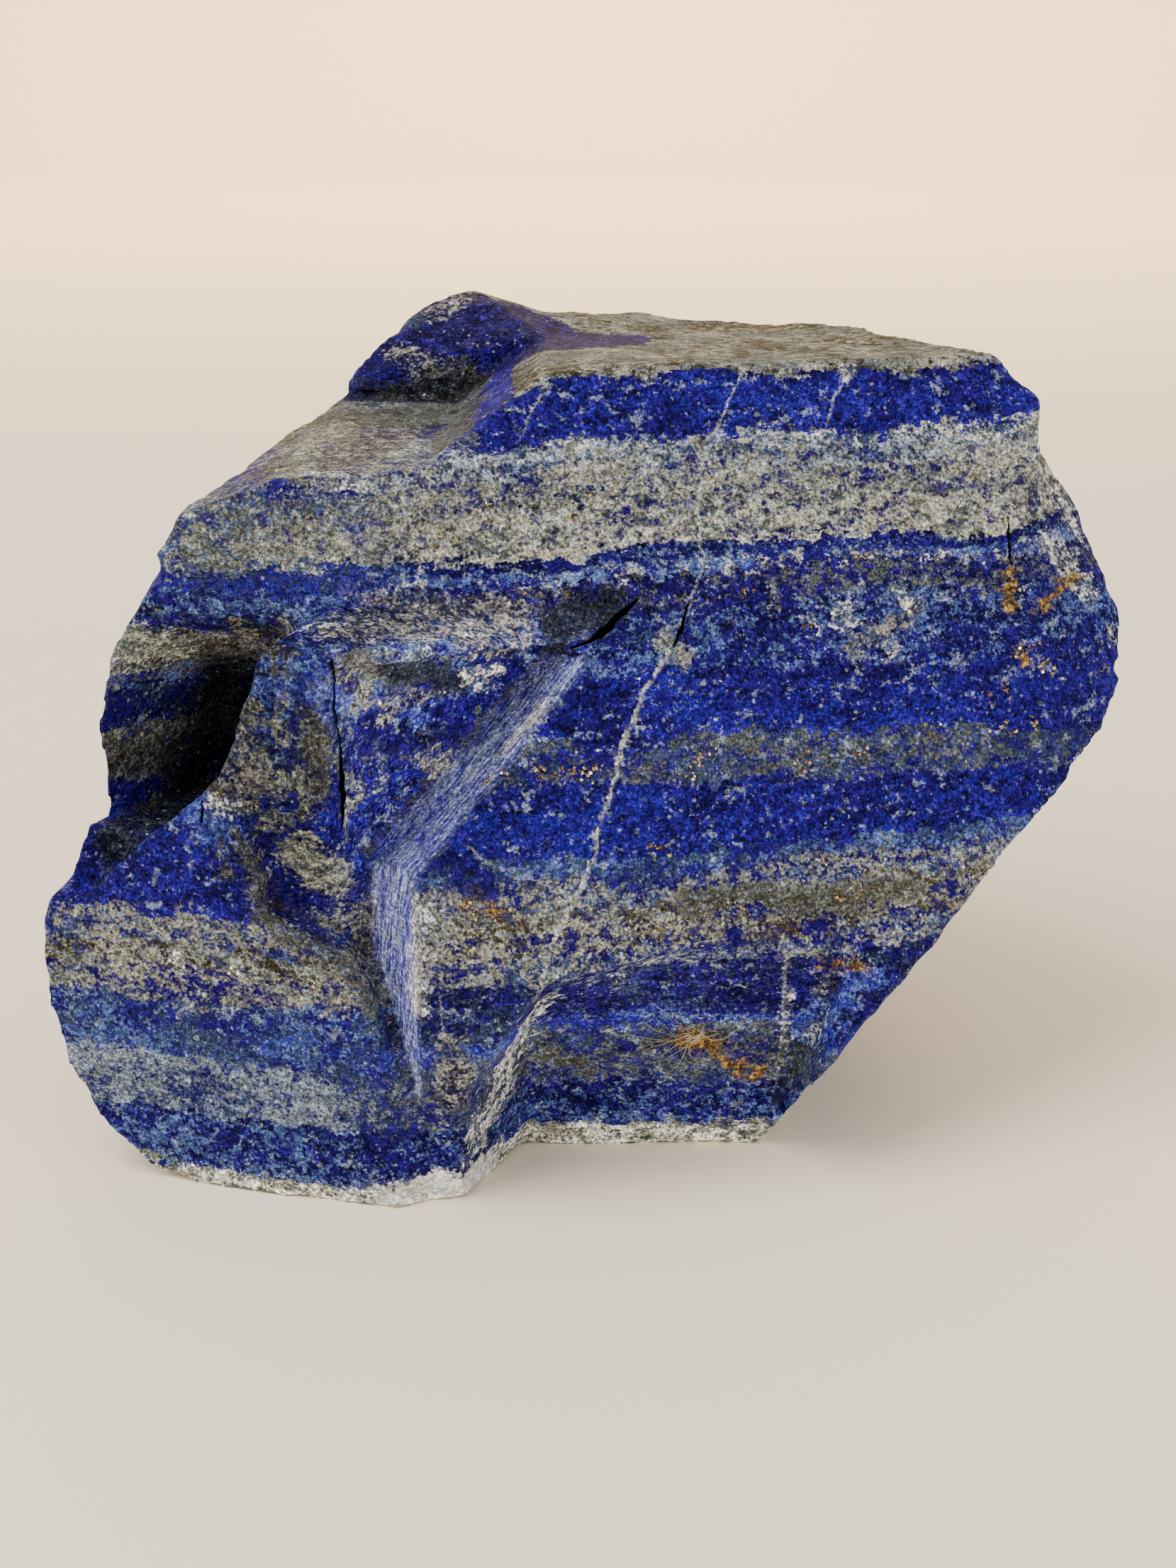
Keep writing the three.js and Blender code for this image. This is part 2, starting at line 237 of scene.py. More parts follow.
# Patches of one mineral, some of the dark ones painted shade: kind, half the width in mm, and the
# points along the middle.
KINDS = ("beige", "brown", "pale", "blue", "rust", "grey", "dark", "sky", "white")
PATCHES = [
    ("beige", 2.1, [(-26.1, 3.7, 34.0), (-23.4, 4.6, 31.2)]),
    ("beige", 1.2, [(-15.0, 10.0, 41.0), (-13.6, 11.3, 40.2)]),
    ("beige", 0.4, [(23.3, 7.8, 20.1), (22.0, 7.8, 19.9), (22.0, 8.5, 17.7)]),
    ("beige", 2.2, [(-42.8, 12.4, 51.3), (-38.8, 15.0, 50.5)]),
    ("beige", 1.0, [(7.3, 15.5, 50.7), (8.6, 15.2, 49.1)]),
    ("beige", 0.9, [(-12.3, 21.0, 66.8), (-9.0, 20.0, 66.9)]),
    ("beige", 1.7, [(-27.2, 14.0, 67.0), (-26.4, 21.2, 67.2), (-24.5, 35.4, 67.6)]),
    ("beige", 0.7, [(-34.5, 2.7, 21.8), (-28.0, 1.6, 21.6), (-22.0, 0.4, 21.0)]),
    ("brown", 1.0, [(-26.1, 3.5, 35.7), (-24.5, 4.4, 31.6)]),
    ("brown", 1.0, [(-31.3, 2.5, 35.0), (-29.8, 2.2, 32.2), (-29.1, 2.2, 28.2), (-25.9, 1.4, 26.3),
                    (-22.3, 0.5, 25.0), (-20.3, 0.1, 22.3), (-19.3, 0.1, 19.1)]),
    ("brown", 1.2, [(-20.3, 1.0, 52.5), (-18.7, 3.9, 51.6)]),
    ("brown", 1.4, [(9.5, 6.2, 28.2), (15.2, 7.8, 28.5), (19.9, 8.8, 27.5), (24.3, 10.0, 27.2),
                    (30.0, 11.8, 27.6)]),
    ("brown", 1.9, [(-43.9, 14.1, 39.6), (-40.1, 18.7, 38.2)]),
    ("brown", 2.6, [(-12.0, 21.0, 68.4), (-12.9, 29.3, 68.6), (-12.0, 37.0, 69.2)]),
    ("brown", 0.8, [(41.3, 28.0, 55.0), (41.2, 25.7, 51.3)]),
    ("brown", 1.1, [(-4.0, 9.5, 12.1), (-0.6, 10.9, 9.2)]),
    ("brown", 1.1, [(-24.2, 1.3, 47.6), (-23.6, 2.5, 40.0)]),
    ("brown", 2.4, [(-36.0, 16.2, 49.5), (-34.0, 17.0, 48.0)]),
    ("pale", 0.9, [(30.5, 23.5, 53.2), (30.3, 23.0, 52.2)]),
    ("pale", 1.0, [(23.8, 21.0, 52.0), (25.0, 21.2, 51.5)]),
    ("pale", 0.7, [(29.1, 20.9, 48.5)]),
    ("pale", 0.7, [(21.2, 20.1, 51.8)]),
    ("pale", 0.5, [(34.4, 24.7, 53.4)]),
    ("pale", 1.5, [(46.1, 30.4, 57.1), (49.3, 31.4, 52.1)]),
    ("pale", 1.9, [(45.0, 33.0, 67.5), (46.6, 33.0, 63.0), (49.5, 33.5, 58.0)]),
    ("pale", 0.8, [(52.1, 31.2, 47.4)]),
    ("pale", 0.8, [(-4.5, 10.8, 45.9), (-7.9, 8.3, 42.7)]),
    ("pale", 0.35, [(5.7, 25.5, 73.9)]),
    ("pale", 0.45, [(14.9, 28.1, 73.7)]),
    ("pale", 0.35, [(20.7, 29.8, 73.7)]),
    ("pale", 0.45, [(25.1, 31.1, 73.6)]),
    ("pale", 0.9, [(-30.0, 4.0, 54.0), (-27.0, 5.0, 55.3), (-23.0, 4.5, 55.0)]),
    ("pale", 0.8, [(-24.5, 14.0, 66.6), (-20.4, 12.5, 66.0)]),
    ("pale", 1.0, [(-14.8, 0.3, 30.2), (-15.0, -0.9, 26.5), (-15.4, -1.0, 20.5)]),
    ("pale", 1.3, [(-4.4, 4.9, 19.6), (-6.1, 6.2, 14.9)]),
    ("pale", 2.4, [(-6.4, 6.2, 14.0), (-8.1, 6.0, 9.6), (-10.4, 3.6, 6.2)]),
    ("pale", 0.15, [(18.7, 8.2, 18.5), (19.1, 10.4, 11.7)]),
    ("pale", 0.6, [(21.2, 9.2, 13.6), (22.6, 8.0, 16.0)]),
    ("pale", 0.7, [(-33.4, 3.0, 38.9), (-31.6, 2.4, 38.7)]),
    ("pale", 1.1, [(-10.6, 11.2, 48.8), (-9.1, 12.8, 47.7)]),
    ("pale", 0.8, [(-38.0, 3.5, 23.2), (-36.6, 3.2, 21.4)]),
    ("blue", 4.3, [(-9.5, 49.8, 72.7), (-3.6, 44.2, 74.5), (2.5, 47.7, 74.5),
                   (-3.5, 50.0, 74.5)]),
    ("blue", 3.0, [(-24.3, 49.0, 69.8), (-20.0, 51.4, 72.5), (-14.0, 51.7, 73.9),
                   (-7.3, 49.3, 72.7)]),
    ("blue", 4.5, [(-12.5, 55.4, 76.0), (-6.0, 55.0, 76.0)]),
    ("blue", 1.6, [(-13.3, 2.1, 34.1), (-9.5, 2.0, 31.5)]),
    ("blue", 1.3, [(-12.6, 11.4, 43.0), (-17.6, 7.2, 43.2), (-19.0, 5.6, 45.0)]),
    ("blue", 2.2, [(-44.6, 11.4, 33.4), (-46.8, 10.6, 31.2)]),
    ("blue", 1.6, [(-16.0, 30.0, 67.6), (-14.5, 36.0, 68.0)]),
    ("blue", 0.7, [(1.3, 14.1, 51.4), (6.6, 15.5, 51.0)]),
    ("blue", 1.5, [(-27.2, 4.2, 28.6), (-23.2, 2.6, 26.6)]),
    ("rust", 0.35, [(21.9, 7.2, 22.0), (25.6, 7.8, 21.5)]),
    ("rust", 0.4, [(49.0, 32.2, 53.8), (46.8, 29.6, 52.5), (43.7, 26.5, 50.7)]),
    ("rust", 0.8, [(42.1, 24.1, 47.1)]),
    ("rust", 0.4, [(39.3, 21.8, 43.8), (40.8, 22.5, 44.3)]),
    ("rust", 0.5, [(51.0, 28.8, 44.6)]),
    ("rust", 0.6, [(41.2, 27.3, 54.8), (41.2, 25.7, 51.3)]),
    ("rust", 0.3, [(-10.8, 0.8, 29.7), (-7.3, 1.5, 29.1)]),
    ("rust", 1.0, [(9.4, 9.9, 13.0), (10.5, 9.8, 13.3), (12.2, 10.2, 12.4)]),
    ("rust", 0.6, [(11.8, 10.2, 11.8), (14.2, 11.0, 9.5)]),
    ("rust", 0.8, [(14.2, 11.0, 9.8), (16.1, 11.1, 9.1)]),
    ("rust", 0.35, [(14.6, 12.3, 5.4)]),
    ("grey", 1.1, [(25.3, 20.1, 49.2), (31.3, 23.1, 51.9)]),
    ("grey", 3.0, [(-21.7, 4.6, 54.7), (-17.0, 7.6, 54.6), (-11.4, 9.7, 53.7), (-7.8, 12.6, 52.6)]),
    ("grey", 1.8, [(-15.8, 56.4, 76.3), (-13.9, 57.6, 77.0)]),
    ("grey", 3.2, [(-18.8, 33.0, 67.7), (-20.7, 25.2, 67.4), (-23.0, 20.9, 67.3)]),
    ("grey", 1.6, [(-31.0, 2.4, 46.0), (-30.4, 2.4, 41.0)]),
    ("grey", 1.1, [(-18.1, 5.9, 46.6), (-15.3, 7.9, 47.3)]),
    ("grey", 1.9, [(-12.4, -0.4, 16.2), (-12.2, -0.4, 11.6)]),
    ("grey", 1.6, [(-20.0, 51.4, 72.5), (-16.9, 49.4, 71.6)]),
    # Painted shade: a dark patch in the hollow behind the pillar.
    ("dark", 2.7, [(-34.0, 19.0, 47.0), (-34.6, 20.7, 42.5), (-36.6, 21.9, 36.1),
                   (-39.9, 14.8, 34.0), (-43.5, 11.5, 32.0)]),
    ("brown", 5.0, [(-22.4, 38.3, 67.6), (-14.9, 41.9, 67.7), (-14.0, 46.7, 68.3)]),
    ("dark", 2.0, [(-24.4, 47.3, 66.6), (-16.9, 49.5, 68.0), (-11.0, 47.7, 69.3)]),
    # Painted shade: darker in the flake's hollow and under the ledge's rim.
    ("dark", 2.0, [(-3.0, 14.4, 52.0), (-0.8, 15.4, 52.5), (1.6, 16.4, 53.4)]),
    ("dark", 1.3, [(-17.4, 4.8, 50.4), (-14.6, 7.7, 49.7), (-11.6, 10.8, 47.9)]),
    ("dark", 1.1, [(-14.9, 9.2, 43.9)]),
    ("sky", 1.0, [(-27.5, 1.0, 51.0), (-24.0, 1.0, 49.8)]),
    ("sky", 1.0, [(-30.0, 2.6, 15.2), (-26.0, 1.6, 16.8)]),
    ("sky", 1.3, [(-24.5, 0.8, 52.0), (-22.4, 2.1, 48.4)]),
    ("sky", 1.0, [(-16.6, 7.3, 46.4), (-14.9, 8.6, 45.2)]),
    ("sky", 2.0, [(-35.6, 3.4, 38.6), (-33.7, 3.0, 36.9)]),
    ("sky", 1.0, [(4.0, 10.6, 17.6), (8.0, 9.6, 17.9)]),
    ("sky", 1.6, [(20.6, 9.6, 14.3), (23.8, 5.9, 18.4)]),
    ("sky", 0.9, [(24.5, 7.0, 20.4), (26.9, 7.4, 19.9)]),
    ("white", 2.3, [(-18.0, 0.8, 0.4), (-14.5, 0.8, 1.0), (-11.0, 3.5, 1.2), (-8.4, 6.5, 0.8)]),
    ("white", 0.7, [(-39.0, 6.0, 0.6), (-30.0, 2.0, 0.7), (-22.0, 0.5, 0.6)]),
]
PATCHES = [(KINDS.index(kind), half, Path(points, half + 1.5)) for kind, half, points in PATCHES]


def minerals(point):
    """How far a point is inside the patches of each kind: 0.5 on the edge, a third more per mm."""
    shares = [0.0] * len(KINDS)
    for kind, half, path in PATCHES:
        if path.near(point):
            share = 0.5 + (half - path.nearest(point)[0]) / 3
            shares[kind] = max(shares[kind], share)
    return shares


def layer_level(point, normal):
    """The level of a point in the stack of layers, in mm: its height, less the layers' bend."""
    bend = point.x * (0.055 * math.exp(-((point.z - 40) / 6) ** 2)
                      - 0.030 * math.exp(-((point.z - 26) / 6) ** 2))
    parting = 3.0 * smooth(0.6, 0.9, normal.z) * smooth(71.5, 73.0, point.z)
    return point.z + bend + parting + 0.8 * tone(point, 30, 2, 4.4)


def tumbled(point):
    """How far a point is on the two faces left of the upper slip strip, where layers are torn."""
    share = smooth(0, 3, point.z - 40.8 - 0.954 * (point.x + 9.3))
    share *= smooth(-36, -32, point.x) * (1 - smooth(53, 54.5, point.z))
    share *= smooth(27, 34, point.z)
    return share * (1 - smooth(0, 3, point.y - 12 - 0.35 * max(point.x + 28, 0)))


def lift(point, normal, torn, low_strip):
    """Painted light and shade, in doublings: the torn face beside the pillar is brighter and the
    pillar darker, faces turned down are brighter, the hollow behind the pillar is darker, and the
    lower slip strip is lighter.
    """
    pillar = 1 - smooth(-25, -21, point.x)
    under = smooth(0.12, 0.42, -normal.z) * (1 - smooth(30, 40, point.y))
    hollow = smooth(17, 20, point.y) * (1 - smooth(-31, -28, point.x)) * smooth(0.2, 0.5, -normal.y)
    hollow *= smooth(29, 33, point.z) * (1 - smooth(48, 51, point.z))
    # Painted light on the torn face and on faces turned down, painted shade on the pillar and in
    # the hollow behind it.
    light_shade_and_tone = torn * (1.0 - 1.55 * pillar) + 0.75 * under * (1 - torn) + 0.45 * low_strip
    return light_shade_and_tone - 1.3 * hollow


def put_down(name, shape):
    """Makes an object at the origin out of a finished bmesh."""
    data = bpy.data.meshes.new(name)
    shape.to_mesh(data)
    shape.free()
    thing = bpy.data.objects.new(name, data)
    bpy.context.scene.collection.objects.link(thing)
    return thing


def relax(mesh, verts, turns):
    """Moves points towards the middle of their neighbours, that many times."""
    for _ in range(turns):
        bmesh.ops.smooth_vert(mesh, verts=verts, factor=0.5, use_axis_x=True, use_axis_y=True,
                              use_axis_z=True)


# The solid is copied, cut into small even faces, set back on the solid's planes and broken up.
block = bmesh.new()
block.from_mesh(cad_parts["stone"].data)
bmesh.ops.remove_doubles(block, verts=block.verts, dist=1e-6)
planes = BVHTree.FromBMesh(block)
stone = put_down("lapis_block", block)
remesh = stone.modifiers.new("even_faces", "REMESH")
remesh.mode = "VOXEL"
remesh.voxel_size = VOXEL * MM
remesh.adaptivity = 0.0
evaluated = stone.evaluated_get(bpy.context.evaluated_depsgraph_get())
even = bpy.data.meshes.new_from_object(evaluated)
stone.modifiers.clear()
stone.data = even

# Only the outer skin is kept: a tight corner can leave a small closed bubble inside.
block = bmesh.new()
block.from_mesh(even)
islands = []
waiting = set(block.verts)
while waiting:
    island = {waiting.pop()}
    border = list(island)
    while border:
        vert = border.pop()
        for edge in vert.link_edges:
            other = edge.other_vert(vert)
            if other in waiting:
                waiting.discard(other)
                island.add(other)
                border.append(other)
    islands.append(island)
islands.sort(key=len)
bmesh.ops.delete(block, geom=[vert for island in islands[:-1] for vert in island], context="VERTS")
for vert in block.verts:
    vert.co = planes.find_nearest(vert.co)[0]

# The brow over the hollow is rounded off, less and less towards its two ends.
brow = Path([(-43.5, 12.2, 50.0), (-42.0, 12.2, 53.0), (-37.5, 10.7, 55.4), (-28.0, 9.5, 54.4),
             (-22.0, 9.4, 54.2)], 6)
plain = [(vert, vert.co.copy()) for vert in block.verts
         if brow.near(source(vert.co)) and brow.nearest(source(vert.co))[0] < 4.5]
relax(block, [vert for vert, before in plain], 60)
for vert, before in plain:
    along = source(before).x
    share = smooth(-44.5, -39.5, along) * (1 - smooth(-25.5, -22.6, along))
    vert.co = before.lerp(vert.co, share)

# Edges: how far each point stands out of the surface around it, and how far the edge is worn.
sharp = [vert.co.copy() for vert in block.verts]
relax(block, block.verts, 5)
block.normal_update()
edge_layer = block.verts.layers.float.new("edge")
for vert, before in zip(block.verts, sharp):
    stands_out = (before - vert.co).dot(vert.normal) / MM
    worn = smooth(-0.25, 0.45, tone(source(before), 5, 3, 2.2))
    kept = 1 - 0.75 * worn if stands_out > 0 else 0.85
    vert[edge_layer] = stands_out
    vert.co = vert.co.lerp(before, kept)
shifts = [vert.normal * relief(source(vert.co), vert.normal) * MM for vert in block.verts]
for vert, shift in zip(block.verts, shifts):
    vert.co += shift
crack_layer = block.verts.layers.float.new("crack")
noise.seed_set(11)
cut_cracks(block, crack_layer)
for vert in block.verts:
    vert.co.z = max(vert.co.z, 0.0)
for face in block.faces:
    face.smooth = True
block.normal_update()

# What the material needs to know at each point of the surface.
level_layer = block.verts.layers.float.new("level")
painted_light_layer = block.verts.layers.float.new("lift")
strip_layer = block.verts.layers.float_vector.new("strips")
warm_layer = block.verts.layers.float_vector.new("patches_warm")
cold_layer = block.verts.layers.float_vector.new("patches_cold")
deep_layer = block.verts.layers.float_vector.new("patches_deep")
vein_layers = [block.verts.layers.float_vector.new(f"vein_{i}") for i in range(len(VEINS))]
for vert in block.verts:
    point = source(vert.co)
    vert[level_layer] = layer_level(point, vert.normal)
    high_strip, low_strip = slip(point, vert.normal)
    torn = tumbled(point) * (1 - high_strip)
    vert[strip_layer] = Vector((high_strip, low_strip, torn))
    vert[painted_light_layer] = lift(point, vert.normal, torn, low_strip)
    shares = minerals(point)
    vert[warm_layer] = Vector(shares[:3])
    vert[cold_layer] = Vector(shares[3:6])
    vert[deep_layer] = Vector(shares[6:])
    for layer, path, power in zip(vein_layers, VEINS, POWERS):
        vert[layer] = vein_at(path, power, point)
block.to_mesh(stone.data)
surface = BVHTree.FromBMesh(block)


class Wire:
    """One socket of a material; arithmetic on it adds Math nodes."""

    def __init__(self, tree, socket=None):
        self.tree = tree
        self.socket = socket

    def node(self, kind, settings=None, sockets=None, out=0):
        """Adds a node: its settings first, then the values or links of its sockets."""
        node = self.tree.nodes.new(kind)
        for key, value in (settings or {}).items():
            if key == "stops":
                ramp = node.color_ramp
                while len(ramp.elements) > 1:
                    ramp.elements.remove(ramp.elements[-1])
                ramp.elements[0].position, ramp.elements[0].color = value[0]
                for position, colour in value[1:]:
                    ramp.elements.new(position).color = colour
            elif key == "interpolation":
                node.color_ramp.interpolation = value
            else:
                setattr(node, key, value)
        for key, value in (sockets or {}).items():
            if isinstance(value, Wire):
                self.tree.links.new(value.socket, node.inputs[key])
            else:
                node.inputs[key].default_value = value
        return Wire(self.tree, node.outputs[out])

    def math(self, operation, *values, clamp=False):
        settings = {"operation": operation, "use_clamp": clamp}
        return self.node("ShaderNodeMath", settings, dict(enumerate(values)))

    def __add__(self, other):
        return self.math("ADD", self, other)

    def __radd__(self, other):
        return self.math("ADD", other, self)

    def __sub__(self, other):
        return self.math("SUBTRACT", self, other)

    def __rsub__(self, other):
        return self.math("SUBTRACT", other, self)

    def __mul__(self, other):
        return self.math("MULTIPLY", self, other)

    def __rmul__(self, other):
        return self.math("MULTIPLY", other, self)

    def __truediv__(self, other):
        return self.math("DIVIDE", self, other)

    def __abs__(self):
        return self.math("ABSOLUTE", self)

    def step(self, low, high):
        """0 below low, 1 above high, an S-curve between; the other way round if low is higher."""
        return self.node("ShaderNodeMapRange", {"interpolation_type": "SMOOTHSTEP"},
                         {"Value": self, "From Min": low, "From Max": high})

    def vector(self, operation, *values, out=0):
        return self.node("ShaderNodeVectorMath", {"operation": operation},
                         dict(enumerate(values)), out)

    def mixed(self, factor, other):
        """This colour where factor is 0, the other where it is 1."""
        return self.node("ShaderNodeMix", {"data_type": "RGBA"}, {0: factor, 6: self, 7: other}, 2)

    def scaled(self, factor):
        """This colour or vector times a number."""
        return self.node("ShaderNodeVectorMath", {"operation": "SCALE"}, {0: self, "Scale": factor})

    def parts(self):
        node = self.tree.nodes.new("ShaderNodeSeparateXYZ")
        self.tree.links.new(self.socket, node.inputs[0])
        return [Wire(self.tree, socket) for socket in node.outputs]

    def attribute(self, name, out=2):
        """A point attribute of the mesh: output 1 is its vector, output 2 its number."""
        return self.node("ShaderNodeAttribute", {"attribute_name": name}, {}, out)


def shades(name):
    """A new material, its first wire and its Principled shader."""
    material = bpy.data.materials.new(name)
    material.use_nodes = True
    tree = material.node_tree
    shader = tree.nodes["Principled BSDF"]
    return material, Wire(tree), shader


# Colours of the minerals, linear.
BLACK = (0.004, 0.003, 0.010, 1)
NAVY = (0.005, 0.002, 0.042, 1)
DEEP = (0.011, 0.003, 0.108, 1)
ROYAL = (0.020, 0.010, 0.270, 1)
SKY = (0.080, 0.136, 0.355, 1)
VEIN = (0.360, 0.370, 0.350, 1)
SLATE = (0.034, 0.050, 0.110, 1)
GREY = (0.092, 0.104, 0.100, 1)
MIST = (0.200, 0.240, 0.300, 1)
BEIGE = (0.288, 0.290, 0.236, 1)
WHITE = (0.640, 0.640, 0.580, 1)
OLIVE = (0.040, 0.033, 0.017, 1)
MOSS = (0.026, 0.032, 0.038, 1)
GOLD = (0.230, 0.135, 0.030, 1)
RUST = (0.070, 0.034, 0.008, 1)
ASH = (0.235, 0.225, 0.180, 1)
CHALK = (0.760, 0.770, 0.730, 1)
DULL_CHALK = (0.480, 0.490, 0.470, 1)
PALE_GRAIN = (0.260, 0.320, 0.400, 1)
# The colour of the painted glints on small crystals.
GLINT_PAINT = (0.300, 0.340, 0.460, 1)
GROOVE_BLUE = (0.026, 0.022, 0.210, 1)
RIDGE_COLD = (0.245, 0.285, 0.400, 1)
RIDGE_WARM = (0.420, 0.405, 0.330, 1)

# The layers from the base up: height of the lower side in mm, three minerals, and how much of the
# second, how much of the third, and how much pyrite there is.
LAYERS_RIGHT = [
    (0.0, WHITE, BEIGE, GREY, (0.50, 0.34, 0.0)),
    (2.3, DEEP, NAVY, SKY, (0.48, 0.36, 0.0)),
    (7.6, DEEP, SLATE, GREY, (0.50, 0.44, 0.0)),
    (12.0, DEEP, SLATE, GREY, (0.56, 0.44, 0.0)),
    (14.6, DEEP, ROYAL, SKY, (0.55, 0.40, 0.0)),
    (16.5, DEEP, NAVY, SLATE, (0.50, 0.38, 0.0)),
    (22.0, SLATE, DEEP, BEIGE, (0.52, 0.40, 0.3)),
    (24.8, OLIVE, DEEP, BEIGE, (0.44, 0.53, 0.5)),
    (27.2, OLIVE, GREY, BEIGE, (0.50, 0.46, 0.7)),
    (28.6, SLATE, DEEP, BEIGE, (0.50, 0.44, 0.4)),
    (30.8, DEEP, SLATE, SKY, (0.54, 0.40, 0.3)),
    (32.6, DEEP, NAVY, ROYAL, (0.48, 0.46, 0.1)),
    (38.8, DEEP, SLATE, GREY, (0.50, 0.40, 1.0)),
    (42.3, DEEP, NAVY, ROYAL, (0.50, 0.42, 0.1)),
    (47.9, DEEP, NAVY, SKY, (0.44, 0.39, 0.3)),
    (53.4, DEEP, NAVY, GREY, (0.42, 0.38, 0.7)),
    (56.0, DEEP, SKY, WHITE, (0.42, 0.30, 0.0)),
    (57.3, DEEP, NAVY, SKY, (0.48, 0.30, 0.2)),
    (59.0, BEIGE, GREY, DEEP, (0.34, 0.25, 0.4)),
    (62.9, GREY, DEEP, BEIGE, (0.36, 0.54, 0.4)),
    (65.8, MIST, SLATE, BEIGE, (0.56, 0.44, 0.1)),
    (67.4, MIST, SLATE, WHITE, (0.56, 0.40, 0.0)),
    (68.2, DEEP, NAVY, ROYAL, (0.50, 0.44, 0.3)),
    (74.0, GREY, BEIGE, OLIVE, (0.46, 0.44, 0.0)),
]
LAYERS_LEFT = [
    (0.0, WHITE, BEIGE, GREY, (0.50, 0.38, 0.0)),
    (1.8, DEEP, NAVY, SKY, (0.46, 0.38, 0.0)),
    (7.6, SLATE, DEEP, MIST, (0.42, 0.60, 0.0)),
    (12.9, DEEP, SLATE, SKY, (0.44, 0.38, 0.0)),
    (19.6, GREY, DEEP, BEIGE, (0.50, 0.41, 0.3)),
    (23.0, GREY, OLIVE, BEIGE, (0.54, 0.42, 0.5)),
    (25.4, SLATE, DEEP, BEIGE, (0.50, 0.46, 0.1)),
    (28.9, DEEP, NAVY, ROYAL, (0.50, 0.44, 0.0)),
    (36.0, DEEP, SLATE, GREY, (0.52, 0.44, 0.3)),
    (38.6, OLIVE, GREY, BEIGE, (0.50, 0.42, 0.6)),
    (41.2, NAVY, DEEP, SLATE, (0.50, 0.38, 0.0)),
    (46.4, DEEP, GREY, SKY, (0.46, 0.42, 0.0)),
    (49.0, GREY, OLIVE, BEIGE, (0.50, 0.44, 0.2)),
    (52.6, DEEP, NAVY, SLATE, (0.50, 0.42, 0.0)),
    (54.6, SLATE, DEEP, SKY, (0.50, 0.42, 0.0)),
    (56.4, DEEP, SLATE, ROYAL, (0.46, 0.44, 0.0)),
    (58.6, SLATE, GREY, BEIGE, (0.50, 0.42, 0.5)),
    (65.0, SLATE, DEEP, BEIGE, (0.52, 0.42, 0.1)),
    (66.4, OLIVE, GREY, BEIGE, (0.56, 0.40, 0.1)),
    (69.6, NAVY, DEEP, SLATE, (0.58, 0.44, 0.1)),
]
CEILING = 80.0                      # mm, the height at which the ramps of the layers end

stone_material, wire, shader = shades("lapis_rock")
coords = wire.node("ShaderNodeTexCoord", out=3)
here = wire.vector("ADD", coords.scaled(1 / MM), tuple(ZERO))


def wobble(size, detail=2.0, at=None, rough=0.5):
    """Soft noise around 0.5 with features of that size in mm."""
    return wire.node("ShaderNodeTexNoise", {}, {"Vector": at or here, "Scale": 1 / size,
                                                "Detail": detail, "Roughness": rough})


def elsewhere(number, squash=1.0):
    """The place moved far away, so that noise there is another, and flattened by squash."""
    moved = wire.vector("ADD", here, (number * 37.1, number * 53.3, number * 71.7))
    return wire.vector("MULTIPLY", moved, (1.0, 1.0, squash))


grit = wobble(0.36, 2.0, elsewhere(1), 0.6)
clumps = wobble(1.3, 4.0, elsewhere(2, 1.35), 0.62)
streaks = wobble(4.5, 4.0, elsewhere(3, 4.0), 0.6)
clouds = wobble(9.0, 3.0, elsewhere(4, 1.6))
blotches = wobble(5.0, 3.0, elsewhere(10, 1.8), 0.6)
standing = wobble(2.4, 4.0, elsewhere(11, 0.35), 0.6)
edge = wire.attribute("edge")
crack = wire.attribute("crack")
strip_high, strip_low, torn = wire.attribute("strips", 1).parts()
x = here.parts()[0]

# The level in the stack of layers, ragged at every size.
ragged = (clouds - 0.5) * 4.0 + (streaks - 0.5) * 3.4 + (clumps - 0.5) * 3.6 + (grit - 0.5) * 1.2
ragged = ragged + torn * ((standing - 0.5) * 34 + (blotches - 0.5) * 22)
spot = (wire.attribute("level") + ragged) / CEILING


def stack(layers, which):
    """A ramp over the height for one column of a table of layers."""
    stops = [(row[0] / CEILING, (*row[which][:3], 1)) for row in layers]
    return wire.node("ShaderNodeValToRGB", {"stops": stops, "interpolation": "CONSTANT"}, {0: spot})


def blend(factor, low, high):
    """A colour between two, low where factor is 0."""
    return wire.node("ShaderNodeMix", {"data_type": "RGBA"}, {0: factor, 6: low, 7: high}, 2)


left = (x + (clouds - 0.5) * 16).step(-14.0, -24.0)
first, second, third, shares = [stack(LAYERS_RIGHT, which).mixed(left, stack(LAYERS_LEFT, which))
                                for which in (1, 2, 3, 4)]
much_second, much_third, much_gold = shares.parts()

lot = 0.5 + (clumps - 0.5) * 2.2 + (streaks - 0.5) * 1.5 + (grit - 0.5) * 1.1
lot = lot + (blotches - 0.5) * 2.0
colour = first.mixed((much_second - lot).step(-0.28, 0.28), second)
grit_two = wobble(0.38, 2.0, elsewhere(5), 0.6)
clumps_two = wobble(1.1, 4.0, elsewhere(6, 1.3), 0.62)
lot_two = 0.5 + (grit_two - 0.5) * 1.6 + (clumps_two - 0.5) * 2.4 + (clouds - 0.5) * 1.2
colour = colour.mixed((much_third - lot_two).step(-0.20, 0.26), third)

# Grains of blue lazurite and pale calcite are sprinkled through every layer.
grit_three = wobble(0.5, 3.0, elsewhere(13), 0.65)
clumps_three = wobble(1.7, 3.0, elsewhere(14, 1.3), 0.6)
lot_three = (grit_three - 0.5) * 1.6 + (clumps_three - 0.5) * 2.4 + (streaks - 0.5) * 0.8
level = wire.attribute("level")
within = level.step(1.6, 2.6) * level.step(75.0, 74.0)
colour = colour.mixed((-0.22 - lot_three).step(-0.12, 0.16) * within * 0.75, DEEP)
colour = colour.mixed((lot_three - 0.34).step(-0.12, 0.20) * within * 0.60, PALE_GRAIN)
